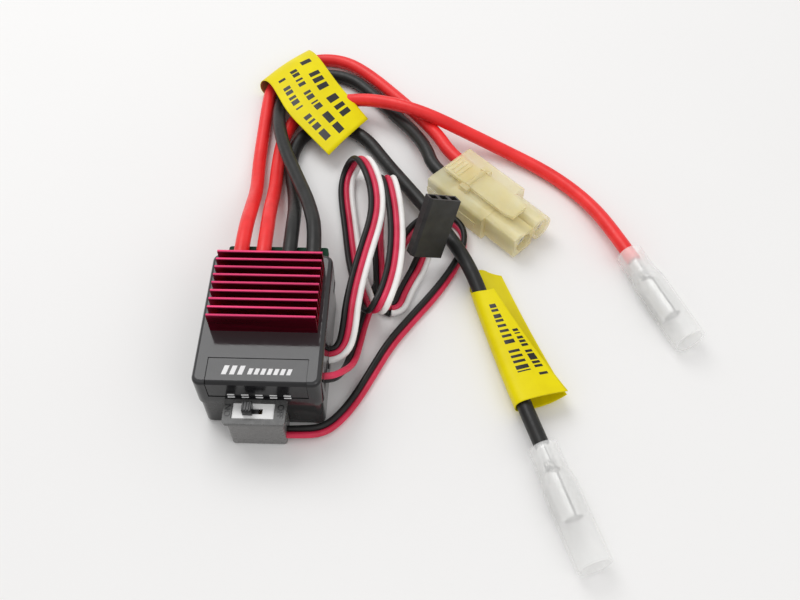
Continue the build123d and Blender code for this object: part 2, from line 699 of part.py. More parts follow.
# ---- motor terminals and their clear sleeves --------------------------------------------
terminal_length = 19.0
barrel_radius = 2.3
barrel_start = 10.0
sleeve_length = 25.0
sleeve_neck_outer = 3.0
sleeve_neck_bore = 2.5
sleeve_outer = 3.45
sleeve_bore = 2.95
for colour, end in motor_ends.items():
    direction = Vector(*end["direction"], 0).normalized()
    wire_end = Vector(*power_routes[end["wire"]][-1])
    along = Plane(origin=wire_end, x_dir=direction, z_dir=(0, 0, 1))
    terminal_axis = Axis(wire_end, direction)

    with BuildPart() as terminal:
        with BuildSketch(along):
            with BuildLine():
                Polyline((0, 0), (0, 1.62), (-2.4, 1.62), (-2.4, 2.05), (0.6, 2.0), (1.0, 1.7),
                         (1.4, 1.45), (5.4, 1.45), (6.0, 1.15), (8.6, 1.15),
                         (barrel_start, barrel_radius), (terminal_length - 0.2, barrel_radius),
                         (terminal_length, barrel_radius - 0.2),
                         (terminal_length, terminal_bore_radius),
                         (terminal_length - terminal_bore_length, terminal_bore_radius),
                         (terminal_length - terminal_bore_length - 0.4, 0), (0, 0))
            make_face()
        revolve(axis=terminal_axis)
        # slit along the sprung barrel
        with BuildSketch(along.offset(barrel_radius / 2)):
            with Locations((terminal_length - terminal_bore_length / 2 + 0.3, 0)):
                Rectangle(terminal_bore_length - 0.8, 0.35)
        extrude(amount=barrel_radius, mode=Mode.SUBTRACT)
    finish(terminal, f"motor_terminal_{colour}")

    start = end["sleeve_start"]
    with BuildPart() as sleeve:
        with BuildSketch(along):
            with BuildLine():
                Polyline((start, sleeve_neck_bore), (start + 6, sleeve_neck_bore),
                         (start + 8.5, sleeve_bore), (start + sleeve_length, sleeve_bore),
                         (start + sleeve_length, sleeve_outer),
                         (start + 8.5, sleeve_outer), (start + 6, sleeve_neck_outer),
                         (start, sleeve_neck_outer), (start, sleeve_neck_bore))
            make_face()
        revolve(axis=terminal_axis)
    finish(sleeve, f"motor_sleeve_{colour}")

# ---- servo lead, its folded hank and its connector --------------------------------------
hank_entry = (16.3, 8.0, 8.4)
hank_exit = (25.6, 15.2, 1.6)
hank_bottom = 0.3
hank_top = 10.2
hank_outline = [(14.0, 8.0), (18.9, 8.0), (23.2, 5.8), (25.6, 12.0), (25.6, 32.0), (23.8, 45.0),
                (20.6, 49.6), (17.2, 53.6), (13.0, 54.6), (10.2, 48.6), (11.6, 33.0), (14.0, 22.0)]
channel_outline = [(14.9, 2.0), (20.6, 2.0), (29.9, 37.0), (24.2, 37.0)]
channel_top = 3.5

with BuildPart() as servo_lead_hank:
    with BuildSketch(Plane.XY.offset(hank_bottom)):
        with BuildLine():
            Polyline(*hank_outline, hank_outline[0])
        make_face()
    extrude(amount=hank_top - hank_bottom)
    # the switch lead passes underneath
    with BuildSketch():
        with BuildLine():
            Polyline(*channel_outline, channel_outline[0])
        make_face()
    extrude(amount=channel_top, mode=Mode.SUBTRACT)
finish(servo_lead_hank, "servo_lead_hank")

connector_axis = Vector(cos(radians(connector_yaw)) * cos(radians(connector_pitch)),
                        sin(radians(connector_yaw)) * cos(radians(connector_pitch)),
                        sin(radians(connector_pitch)))
connector_level = Vector(sin(radians(connector_yaw)), -cos(radians(connector_yaw)), 0)
connector_across = connector_level.rotate(Axis((0, 0, 0), connector_axis), connector_roll)
connector_up = connector_across.cross(connector_axis)
connector_near = Vector(*connector_near_top) - connector_up * (connector_thickness / 2)
connector_back = Plane(origin=connector_near, x_dir=connector_across, z_dir=connector_axis)
socket_pitch = 2.54
socket_size = 1.7
socket_depth = 8.0

with BuildPart() as servo_connector:
    with BuildSketch(connector_back):
        Rectangle(connector_width, connector_thickness)
    extrude(amount=connector_length)
    # key chamfer along one edge, and a recess over the contacts' catches
    with BuildSketch(connector_back):
        with Locations((-connector_width / 2, -connector_thickness / 2)):
            Rectangle(0.9, 0.9, rotation=45)
    extrude(amount=connector_length, mode=Mode.SUBTRACT)
    with BuildSketch(connector_back.offset(4.6)):
        with GridLocations(socket_pitch, 0, 3, 1):
            with Locations((0, connector_thickness / 2)):
                Rectangle(1.3, 0.5)
    extrude(amount=3.2, mode=Mode.SUBTRACT)
    with BuildSketch(connector_back.offset(connector_length)):
        with GridLocations(socket_pitch, 0, 3, 1):
            Rectangle(socket_size, socket_size)
    extrude(amount=-socket_depth, mode=Mode.SUBTRACT)
finish(servo_connector, "servo_connector")

with BuildPart() as servo_contacts:
    with BuildSketch(connector_back.offset(connector_length - socket_depth)):
        with GridLocations(socket_pitch, 0, 3, 1):
            Rectangle(socket_size - 0.06, socket_size - 0.06)
            Rectangle(socket_size - 0.5, socket_size - 0.5, mode=Mode.SUBTRACT)
    extrude(amount=socket_depth - 0.8)
finish(servo_contacts, "servo_contacts")

servo_route = [(10.9, *servo_lead_exit), (13.6, *servo_lead_exit), (15.4, -1.0, 6.9),
               (16.0, 1.6, 7.6), (16.3, 4.8, 8.4), hank_entry]
lead("servo_lead", servo_route, servo_lead_diameter)

connector_approach = connector_near - connector_axis * 3.4
servo_end_route = [hank_exit, (28.9, 15.2, 1.6), (30.4, 19.2, 1.6), tuple(connector_approach),
                   tuple(connector_near)]
lead("servo_lead_end", servo_end_route, servo_lead_diameter)

switch_route = [(10.7, *switch_lead_exit), (13.7, *switch_lead_exit), (15.6, -8.9, 9.4),
                (16.6, -5.6, 6.6), (17.1, -1.6, 3.8), (17.6, 3.4, 1.8),
                (18.5, 9.6, 1.15), (20.5, 16.8, 1.15), (23.4, 24.2, 1.15), (26.2, 31.4, 1.15),
                (29.4, 37.0, 1.15), (34.6, 39.4, 1.15), (39.4, 36.6, 1.15), (40.6, 30.6, 1.15),
                (37.8, 23.4, 1.15), (33.6, 16.4, 1.15), (28.8, 9.8, 1.15), (24.4, 3.4, 1.15),
                (21.2, -3.4, 1.15), (18.2, -9.8, 1.15), (15.0, -14.7, 1.15),
                (11.9, -17.7, 1.6), (7.6, lead_entry_y, lead_entry_z),
                (3.4, lead_entry_y, lead_entry_z)]
lead("switch_lead", switch_route, switch_lead_diameter)

# ---- paper flags on the wires -----------------------------------------------------------
flag_thickness = 0.5
flags = {
    "flag_label_battery": (5.9, [(-0.5, 90.0), (16.8, 64.6), (8.2, 52.4), (-9.3, 75.1)]),
    "flag_label_motor": (5.0, [(42.2, 15.9), (48.0, 20.4), (59.3, -5.0), (49.6, -10.6)]),
}
for name, (bottom, outline) in flags.items():
    with BuildPart() as flag:
        with BuildSketch(Plane.XY.offset(bottom)):
            with BuildLine():
                Polyline(*outline, outline[0])
            make_face()
        extrude(amount=flag_thickness)
    finish(flag, name)
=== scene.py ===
import bpy
import json
import math
from mathutils import Matrix, Vector


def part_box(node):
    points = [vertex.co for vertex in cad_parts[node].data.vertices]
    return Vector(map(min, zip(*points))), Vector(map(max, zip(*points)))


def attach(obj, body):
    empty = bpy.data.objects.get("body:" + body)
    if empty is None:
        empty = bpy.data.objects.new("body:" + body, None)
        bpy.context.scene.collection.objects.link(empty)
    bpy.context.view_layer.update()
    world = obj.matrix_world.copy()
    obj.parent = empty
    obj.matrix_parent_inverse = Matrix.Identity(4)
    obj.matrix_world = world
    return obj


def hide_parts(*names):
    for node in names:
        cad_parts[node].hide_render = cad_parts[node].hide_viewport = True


# Brushed electronic speed controller with its leads. Lengths are written in millimetres
# and turned into the frame's metres by MM. +Y is the end where the power wires leave.

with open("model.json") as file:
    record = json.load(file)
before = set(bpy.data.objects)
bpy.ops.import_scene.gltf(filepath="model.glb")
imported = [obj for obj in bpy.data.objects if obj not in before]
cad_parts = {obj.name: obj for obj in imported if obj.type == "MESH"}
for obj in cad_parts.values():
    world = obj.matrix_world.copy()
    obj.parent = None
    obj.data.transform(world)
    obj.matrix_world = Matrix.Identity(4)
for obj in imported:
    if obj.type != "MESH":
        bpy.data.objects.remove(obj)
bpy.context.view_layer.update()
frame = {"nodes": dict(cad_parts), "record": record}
nodes = frame["nodes"]
MM = 0.001
scene = bpy.context.scene
scene.view_settings.view_transform = "Standard"


# ---- small helpers ----------------------------------------------------------------------
def place(name, data):
    """A new object with this data, linked into the scene."""
    piece = bpy.data.objects.new(name, data)
    scene.collection.objects.link(piece)
    return piece


def belong(piece, slot, *stands_for, body="controller"):
    """The piece rides on a body and may stand for CAD nodes, which are hidden; its slot is not
    used.
    """
    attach(piece, body)
    if stands_for:
        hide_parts(*stands_for)
    return piece


def low(node):
    """Lowest corner of a CAD node, in millimetres."""
    return Vector(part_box(node)[0]) / MM


def high(node):
    """Highest corner of a CAD node, in millimetres."""
    return Vector(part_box(node)[1]) / MM


def unit(angle):
    """Level unit vector at an angle in degrees from +X."""
    return Vector((math.cos(math.radians(angle)), math.sin(math.radians(angle)), 0))


def mesh_from(name, vertices, faces, slots=(), smooth=True):
    """A mesh from millimetre points, with a material index for each face."""
    mesh = bpy.data.meshes.new(name)
    mesh.from_pydata([Vector(v) * MM for v in vertices], [], faces)
    for index, face_slot in enumerate(slots):
        mesh.polygons[index].material_index = face_slot
    for polygon in mesh.polygons:
        polygon.use_smooth = smooth
    mesh.update()
    return mesh


# ---- camera -----------------------------------------------------------------------------
camera_spot = Vector((33.33, -104.62, 171.97))
camera_angles = (-3.44, 54.98, -1.62)  # yaw, pitch down and roll, in degrees
camera_lens = 42.76


def make_camera():
    """Looks down at the case from its switch end."""
    yaw, pitch, roll = (math.radians(a) for a in camera_angles)
    forward = Vector((math.sin(yaw) * math.cos(pitch), math.cos(yaw) * math.cos(pitch),
                      -math.sin(pitch)))
    level = Vector((math.cos(yaw), -math.sin(yaw), 0))
    over = level.cross(forward)
    right = level * math.cos(roll) + over * math.sin(roll)
    up = over * math.cos(roll) - level * math.sin(roll)
    data = bpy.data.cameras.new("camera")
    data.lens = camera_lens
    data.clip_start = 0.01
    data.clip_end = 20
    camera = place("camera", data)
    turn = Matrix((right, up, -forward)).transposed().to_4x4()
    camera.matrix_world = Matrix.Translation(camera_spot * MM) @ turn
    scene.camera = camera


make_camera()


# ---- procedural materials ---------------------------------------------------------------
noise_roughness = 0.55
# heights between which a painted reflection comes in, in millimetres: a lighter cover top, paler
# lower walls and pinker fin tops
painted_top_reflection_band = (15.6, 15.85)
painted_wall_reflection_band = (10.0, 8.5)
painted_fin_reflection_band = (20.9, 21.15)


class Finish:
    """A principled material built up from noise-driven layers."""

    def __init__(self, name, colour, roughness, metallic=0.0, **inputs):
        self.material = bpy.data.materials.new(name)
        self.material.use_nodes = True
        self.tree = self.material.node_tree
        self.shader = self.tree.nodes["Principled BSDF"]
        self.shader.inputs["Base Color"].default_value = (*colour, 1)
        self.shader.inputs["Roughness"].default_value = roughness
        self.shader.inputs["Metallic"].default_value = metallic
        for label, value in inputs.items():
            self.shader.inputs[label.replace("_", " ")].default_value = value
        self.coordinates = self.node("ShaderNodeTexCoord").outputs["Object"]
        self.colour_link = None
        self.height_link = None

    def node(self, kind, **settings):
        made = self.tree.nodes.new(kind)
        for label, value in settings.items():
            setattr(made, label, value)
        return made

    def join(self, source, target):
        self.tree.links.new(source, target)

    def noise(self, scale, stretch=(1, 1, 1), detail=4.0):
        """Noise with this many features to the metre, stretched along the axes."""
        mapping = self.node("ShaderNodeMapping")
        mapping.inputs["Scale"].default_value = stretch
        self.join(self.coordinates, mapping.inputs["Vector"])
        texture = self.node("ShaderNodeTexNoise")
        texture.inputs["Scale"].default_value = scale
        texture.inputs["Detail"].default_value = detail
        texture.inputs["Roughness"].default_value = noise_roughness
        self.join(mapping.outputs["Vector"], texture.inputs["Vector"])
        return texture.outputs["Fac"]

    def ramp(self, source, low_at, high_at, low_value, high_value):
        """Colours or greys between two thresholds of a factor."""
        ramp = self.node("ShaderNodeValToRGB")
        ends = ramp.color_ramp.elements
        ends[0].position = low_at
        ends[1].position = high_at
        for end, value in zip(ends, (low_value, high_value)):
            end.color = (*value, 1) if isinstance(value, tuple) else (value, value, value, 1)
        self.join(source, ramp.inputs["Fac"])
        return ramp.outputs["Color"]

    def tint(self, source, low_at, high_at, low_colour, high_colour):
        """Base colour that wanders between two colours."""
        self.colour_link = self.ramp(source, low_at, high_at, low_colour, high_colour)
        self.join(self.colour_link, self.shader.inputs["Base Color"])
        return self

    def over(self, mask, colour):
        """A second colour laid over the base where the mask is white."""
        mix = self.node("ShaderNodeMix", data_type="RGBA")
        if self.colour_link is None:
            mix.inputs["A"].default_value = self.shader.inputs["Base Color"].default_value
        else:
            self.join(self.colour_link, mix.inputs["A"])
        mix.inputs["B"].default_value = (*colour, 1)
        self.join(mask, mix.inputs["Factor"])
        self.colour_link = mix.outputs["Result"]
        self.join(self.colour_link, self.shader.inputs["Base Color"])
        return self

    def shine(self, source, low_at, high_at, smooth, dull):
        """Roughness that wanders between two values."""
        self.join(self.ramp(source, low_at, high_at, smooth, dull),
                  self.shader.inputs["Roughness"])
        return self

    def relief(self, source, strength, distance):
        """Bump from a height source, on top of any bump there already."""
        bump = self.node("ShaderNodeBump")
        bump.inputs["Strength"].default_value = strength
        bump.inputs["Distance"].default_value = distance * MM
        self.join(source, bump.inputs["Height"])
        if self.height_link is not None:
            self.join(self.height_link, bump.inputs["Normal"])
        self.height_link = bump.outputs["Normal"]
        self.join(self.height_link, self.shader.inputs["Normal"])
        return self

    def height_mask(self, axis, start, end):
        """Black at one level along an axis and white at another, in millimetres."""
        split = self.node("ShaderNodeSeparateXYZ")
        self.join(self.coordinates, split.inputs["Vector"])
        mapping = self.node("ShaderNodeMapRange")
        mapping.inputs["From Min"].default_value = start * MM
        mapping.inputs["From Max"].default_value = end * MM
        self.join(split.outputs[axis], mapping.inputs["Value"])
        return mapping.outputs["Result"]

    def scratches(self, density, angle, strength):
        """Fine straight scratches in one direction."""
        mapping = self.node("ShaderNodeMapping")
        mapping.inputs["Rotation"].default_value = (0, 0, math.radians(angle))
        mapping.inputs["Scale"].default_value = (1, 0.02, 1)
        self.join(self.coordinates, mapping.inputs["Vector"])
        texture = self.node("ShaderNodeTexNoise")
        texture.inputs["Scale"].default_value = density
        texture.inputs["Detail"].default_value = 2.0
        self.join(mapping.outputs["Vector"], texture.inputs["Vector"])
        fine = self.ramp(texture.outputs["Fac"], 0.66, 0.7, 0.0, 1.0)
        return self.relief(fine, strength, 0.02)


# pale is the colour of the painted reflection that lightens the lower walls
def smoke_plastic(name, dark, bright, smooth, dull, pale):
    """Glossy black moulding with faint clouding, fine handling scratches, a painted reflection
    that lightens the top face and another that pales the lower walls.
    """
    finish = Finish(name, bright, smooth, IOR=1.45)
    finish.tint(finish.noise(260, detail=3.0), 0.3, 0.75, dark, bright)
    # painted reflection: the top face is lighter than the walls
    finish.over(finish.height_mask("Z", *painted_top_reflection_band), (0.035, 0.035, 0.037))
    # painted reflection: the lower walls are paler than the rest
    finish.over(finish.height_mask("Z", *painted_wall_reflection_band), pale)
    finish.shine(finish.noise(900, detail=5.0), 0.35, 0.8, smooth, dull)
    finish.relief(finish.noise(420, detail=2.0), 0.12, 0.05)
    return finish.scratches(900, 24, 0.25).material


def crimson_anodised():
    """Anodised aluminium brushed along X, with a painted reflection that tints the fin tops pink.
    """
    finish = Finish("crimson_anodised", (0.36, 0.006, 0.04), 0.3, metallic=1.0)
    brushed = finish.noise(700, stretch=(0.05, 1, 1), detail=5.0)
    finish.tint(brushed, 0.3, 0.7, (0.26, 0.003, 0.024), (0.42, 0.007, 0.046))
    # painted reflection: the fin tops are pinker than the fin faces
    finish.over(finish.height_mask("Z", *painted_fin_reflection_band), (0.28, 0.026, 0.07))
    finish.shine(brushed, 0.3, 0.75, 0.26, 0.44)
    return finish.relief(brushed, 0.25, 0.03).material


def silicone(name, dark, bright, roughness, specular=0.4):
    """Soft wire insulation, slightly uneven, with a fine dusty grain."""
    finish = Finish(name, bright, roughness, Specular_IOR_Level=specular)
    finish.tint(finish.noise(240, detail=5.0), 0.25, 0.8, dark, bright)
    finish.shine(finish.noise(1500), 0.3, 0.8, roughness - 0.08, roughness + 0.12)
    finish.relief(finish.noise(2600, detail=6.0), 0.22, 0.04)
    return finish.relief(finish.noise(180, detail=2.0), 0.25, 0.12).material


def moulded(name, dark, bright, roughness):
    """Plain moulding or coating with a fine even grain."""
    finish = Finish(name, bright, roughness)
    finish.tint(finish.noise(300, detail=4.0), 0.3, 0.75, dark, bright)
    finish.shine(finish.noise(800), 0.3, 0.8, roughness - 0.06, roughness + 0.1)
    return finish.relief(finish.noise(1800), 0.2, 0.03).material


def bright_metal(name, dark, bright, roughness, stretch=(1, 1, 1), metallic=1.0):
    """Bare metal with one grain in its tone, gloss and relief."""
    finish = Finish(name, bright, roughness, metallic=metallic)
    grain = finish.noise(1400, stretch=stretch, detail=6.0)
    finish.tint(grain, 0.25, 0.8, dark, bright)
    finish.shine(grain, 0.3, 0.8, roughness - 0.08, roughness + 0.12)
    return finish.relief(grain, 0.2, 0.02).material


def board_material():
    """Dark green lacquer over a faint grid of tracks."""
    finish = Finish("green_board", (0.003, 0.024, 0.012), 0.6, Specular_IOR_Level=0.15)
    finish.tint(finish.noise(500), 0.3, 0.7, (0.002, 0.014, 0.007), (0.003, 0.024, 0.012))
    tracks = finish.node("ShaderNodeTexBrick")
    tracks.inputs["Scale"].default_value = 520
    tracks.inputs["Mortar Size"].default_value = 0.12
    tracks.inputs["Color1"].default_value = (0, 0, 0, 1)
    tracks.inputs["Color2"].default_value = (0, 0, 0, 1)
    tracks.inputs["Mortar"].default_value = (1, 1, 1, 1)
    finish.join(finish.coordinates, tracks.inputs["Vector"])
    finish.over(tracks.outputs["Color"], (0.006, 0.044, 0.022))
    return finish.relief(tracks.outputs["Color"], 0.3, 0.03).material


def clear_sleeve():
    """Thin clear vinyl with a milky haze."""
    finish = Finish("clear_sleeve", (0.98, 0.98, 0.97), 0.12, IOR=1.4, Alpha=0.3)
    finish.shine(finish.noise(350), 0.35, 0.75, 0.05, 0.2)
    return finish.relief(finish.noise(220, detail=3.0), 0.2, 0.12).material


def natural_nylon():
    """Unpigmented nylon: waxy, cream, and a little see-through."""
    finish = Finish("natural_nylon", (0.95, 0.84, 0.50), 0.36, IOR=1.45, Alpha=0.45,
                    Subsurface_Weight=0.4, Subsurface_Scale=0.004)
    finish.shader.inputs["Subsurface Radius"].default_value = (1.0, 0.85, 0.5)
    finish.tint(finish.noise(160, detail=3.0), 0.3, 0.75, (0.93, 0.78, 0.38), (0.98, 0.90, 0.58))
    finish.shine(finish.noise(600), 0.3, 0.8, 0.26, 0.46)
    return finish.relief(finish.noise(900, detail=4.0), 0.12, 0.04).material


def film(name, colour, dark, coat=0.3):
    """Thin printed film with faint waves in its gloss."""
    finish = Finish(name, colour, 0.42, Coat_Weight=coat, Coat_Roughness=0.2,
                    Specular_IOR_Level=0.15)
    finish.tint(finish.noise(140), 0.3, 0.75, dark, colour)
    return finish.relief(finish.noise(260, detail=3.0), 0.2, 0.15).material


materials = {
    # for smoke_plastic and label_black the last colour is the painted reflection on their lower
    # walls
    "smoke_plastic": smoke_plastic("smoke_plastic", (0.003, 0.003, 0.004),
                                   (0.010, 0.010, 0.011), 0.07, 0.2, (0.035, 0.035, 0.035)),
    "label_black": smoke_plastic("label_black", (0.005, 0.005, 0.006), (0.012, 0.012, 0.013),
                                 0.12, 0.26, (0.02, 0.02, 0.02)),
    "crimson_anodised": crimson_anodised(),
    "thermal_pad": moulded("thermal_pad", (0.3, 0.31, 0.33), (0.42, 0.43, 0.45), 0.7),
    "green_board": board_material(),
    "chip_black": moulded("chip_black", (0.012, 0.012, 0.013), (0.03, 0.03, 0.032), 0.5),
    "ceramic": moulded("ceramic", (0.3, 0.22, 0.14), (0.45, 0.36, 0.26), 0.45),
    "tin": bright_metal("tin", (0.72, 0.72, 0.71), (0.9, 0.9, 0.89), 0.46, metallic=0.8),
    "capacitor_sleeve": moulded("capacitor_sleeve", (0.01, 0.012, 0.03), (0.02, 0.025, 0.06),
                                0.25),
    "black_rubber": moulded("black_rubber", (0.012, 0.012, 0.012), (0.028, 0.028, 0.028), 0.6),
    "bright_steel": bright_metal("bright_steel", (0.93, 0.93, 0.93), (0.99, 0.99, 0.98), 0.5,
                                 stretch=(0.06, 1, 1), metallic=0.15),
    "insulator": moulded("insulator", (0.2, 0.12, 0.05), (0.3, 0.2, 0.09), 0.55),
    "brass": bright_metal("brass", (0.55, 0.38, 0.14), (0.85, 0.62, 0.28), 0.25),
    "knob_black": moulded("knob_black", (0.008, 0.008, 0.009), (0.022, 0.022, 0.024), 0.28),
    "red_silicone": silicone("red_silicone", (0.76, 0.016, 0.017), (0.93, 0.034, 0.034), 0.38),
    "black_silicone": silicone("black_silicone", (0.008, 0.008, 0.008), (0.022, 0.022, 0.021),
                               0.4, specular=0.35),
    "natural_nylon": natural_nylon(),
    "clear_sleeve": clear_sleeve(),
    "connector_black": moulded("connector_black", (0.01, 0.01, 0.01), (0.028, 0.028, 0.028),
                               0.42),
    "yellow_film": film("yellow_film", (0.84, 0.72, 0.001), (0.74, 0.61, 0.001),
                        coat=0.0),
}
strand_black = silicone("strand_black", (0.006, 0.006, 0.006), (0.018, 0.016, 0.016), 0.42, 0.3)
strand_red = silicone("strand_red", (0.52, 0.012, 0.045), (0.74, 0.03, 0.10), 0.4)
strand_white = silicone("strand_white", (0.80, 0.79, 0.77), (0.92, 0.91, 0.90), 0.4)
# the last colour is the painted reflection that pales the housing's lower walls
smoke_clear = smoke_plastic("smoke_clear", (0.07, 0.07, 0.07), (0.11, 0.11, 0.108), 0.22, 0.4,
                            (0.16, 0.157, 0.155))
# white for real print on the plate and for painted highlights on the case front
print_and_highlight_white = film("print_and_highlight_white", (0.86, 0.86, 0.86), (0.76, 0.76, 0.77), coat=0.1)
print_black = film("print_black", (0.03, 0.028, 0.025), (0.012, 0.012, 0.012))
film_back = film("film_back", (0.42, 0.22, 0.09), (0.33, 0.16, 0.06))

for entry in frame["record"]["subparts"]:
    made = materials.get(entry["material_slot"])
    if made is not None:
        for slot in nodes[entry["node"]].material_slots:
            slot.material = made
for slot in nodes["switch_housing"].material_slots:
    slot.material = smoke_clear


# ---- cords: each repeats its route, as control points of one smooth spline -----------------
wire_diameter = 3.2
plug_axis = unit(-45)
plug_across = unit(45)
plug_mouth = Vector((36.6, 50.5, 4.6))
plug_lead_in, plug_depth = 3.0, 3.5
terminal_lead_in, terminal_depth = 8.0, 3.0
motor_ends = {
    "red": (Vector((76.49, 27.89, 3.5)), Vector((0.414, -0.910, 0)).normalized()),
    "black": (Vector((54.15, -17.7, 3.5)), Vector((0.331, -0.944, 0)).normalized()),
}


def into_plug(offset):
    """The last two points of a battery wire, straight into the back of the plug."""
    mouth = plug_mouth + plug_across * offset
    return [tuple(mouth - plug_axis * plug_lead_in), tuple(mouth + plug_axis * plug_depth)]


def into_terminal(colour):
    """The last two points of a motor wire, straight and level into its terminal."""
    crimp, along = motor_ends[colour]
    return [tuple(crimp - along * terminal_lead_in), tuple(crimp + along * terminal_depth)]


wire_routes = {
    "battery_wire_red": [
        (-7.6, 13.5, 12.85), (-7.6, 23.8, 12.95),
        (-8.0, 34.2, 8.7), (-8.7, 44.0, 3.4), (-9.7, 54.2, 1.7), (-9.8, 64.2, 1.7),
        (-9.9, 73.6, 1.7), (-9.7, 80.4, 1.7), (-7.0, 86.0, 1.7), (-2.2, 90.2, 1.7),
        (3.0, 92.2, 1.7), (9.5, 91.0, 1.7), (15.6, 86.2, 1.7), (22.4, 78.6, 1.9),
        (28.8, 70.2, 2.8), (33.8, 62.4, 4.1)] + into_plug(3.7),
    "battery_wire_black": [
        (7.9, 13.5, 12.85), (7.9, 23.8, 12.95),
        (5.3, 34.0, 10.6), (1.6, 43.4, 8.4), (-2.2, 52.6, 7.2), (-5.0, 61.6, 5.6),
        (-6.5, 70.2, 3.4), (-6.3, 77.5, 1.7), (-2.8, 83.6, 1.7), (3.9, 86.3, 1.7),
        (11.0, 84.8, 1.7), (16.6, 79.2, 1.7), (22.4, 71.8, 2.0), (27.3, 64.8, 3.2),
        (31.0, 57.8, 4.4)] + into_plug(-2.3),
    "motor_wire_red": [
        (-2.8, 13.5, 12.85), (-2.8, 23.8, 12.95),
        (-3.7, 34.2, 8.7), (-4.4, 44.0, 3.4), (-5.1, 54.0, 1.7), (-4.7, 63.6, 1.7),
        (-1.4, 71.8, 1.7), (6.2, 74.8, 2.6), (14.4, 73.4, 5.3), (22.6, 70.4, 6.9),
        (31.2, 66.8, 6.9), (41.0, 62.8, 4.6), (50.6, 59.0, 2.1), (60.6, 52.6, 1.7),
        (68.4, 44.6, 1.8)] + into_terminal("red"),
    "motor_wire_black": [
        (2.7, 13.5, 12.85), (2.7, 23.8, 12.95),
        (1.9, 34.0, 8.6), (0.3, 43.0, 3.6), (-1.4, 50.6, 1.8), (-2.0, 58.4, 1.7),
        (1.2, 65.8, 1.7), (8.8, 67.8, 1.7), (15.8, 63.8, 1.7), (21.4, 54.8, 1.9),
        (26.2, 47.2, 2.9), (31.0, 39.4, 4.1), (36.4, 31.3, 4.1), (41.4, 22.3, 4.0),
        (45.4, 10.8, 2.2), (48.3, 0.4, 2.2)] + into_terminal("black"),
}


def spline_curve(name, points, radius=0.0, steps=16):
    """A curve of one open spline whose control points are these, in millimetres."""
    curve = bpy.data.curves.new(name, "CURVE")
    curve.dimensions = "3D"
    spline = curve.splines.new("NURBS")
    spline.points.add(len(points) - 1)
    for control, point in zip(spline.points, points):
        control.co = (*(Vector(point) * MM), 1)
    spline.order_u = 3
    spline.use_endpoint_u = True
    curve.resolution_u = steps
    curve.bevel_depth = radius * MM
    curve.bevel_resolution = 7
    curve.use_fill_caps = True
    return curve


def spline_path(points, steps=16):
    """Points along the spline with these control points, in millimetres."""
    guide = place("guide", spline_curve("guide", points, steps=steps))
    mesh = bpy.data.meshes.new_from_object(guide)
    path = [v.co / MM for v in mesh.vertices]
    bpy.data.objects.remove(guide)
    bpy.data.meshes.remove(mesh)
    return path


wires = {}
for name, route in wire_routes.items():
    wires[name] = place(name + "_insulation", spline_curve(name, route, wire_diameter / 2))
    colour = "red_silicone" if name.endswith("red") else "black_silicone"
    wires[name].data.materials.append(materials[colour])
    belong(wires[name], colour, name)

# A ribbon is two or three round strands side by side. Each control point carries the way
# across the ribbon there, as an angle from +X in the level plane and a tilt out of it.
strand_diameter = 1.36
strand_pitch = 1.3


def ribbon(name, route, strand_materials, steps=14, ring=14):
    """Strands that follow a route of (point, across) pairs, as one mesh tube."""
    middle = spline_path([point for point, across in route], steps)
    edge = spline_path([Vector(point) + across for point, across in route], steps)
    count = len(strand_materials)
    sections = []
    for index, centre in enumerate(middle):
        before = middle[max(index - 1, 0)]
        after = middle[min(index + 1, len(middle) - 1)]
        along = (after - before).normalized()
        across = edge[index] - centre
        across = (across - along * across.dot(along)).normalized()
        sections.append((centre, across, along.cross(across)))
    vertices, faces, slots = [], [], []
    for strand in range(count):
        offset = (strand - (count - 1) / 2) * strand_pitch
        start = len(vertices)
        for centre, across, upright in sections:
            for step in range(ring):
                angle = 2 * math.pi * step / ring
                vertices.append(centre + across * (offset + math.cos(angle) * strand_diameter / 2)
                                + upright * (math.sin(angle) * strand_diameter / 2))
        for section in range(len(sections) - 1):
            for step in range(ring):
                a = start + section * ring + step
                b = start + section * ring + (step + 1) % ring
                faces.append((a, b, b + ring, a + ring))
        faces.append(tuple(reversed(range(start, start + ring))))
        last = start + (len(sections) - 1) * ring
        faces.append(tuple(range(last, last + ring)))
        slots += [strand] * (len(faces) - len(slots))
    piece = place(name, mesh_from(name, vertices, faces, slots))
    for made in strand_materials:
        piece.data.materials.append(made)
    return piece, middle


ACROSS = Vector((1, 0, 0))
UPRIGHT = Vector((0, 0, 1))
connector_across = Vector((0.843, 0.310, -0.440))


def leaning(angle, down):
    """Unit vector at a level angle from +X that dips by a second angle, in degrees."""
    return (unit(angle) * math.cos(math.radians(down))
            - UPRIGHT * math.sin(math.radians(down)))


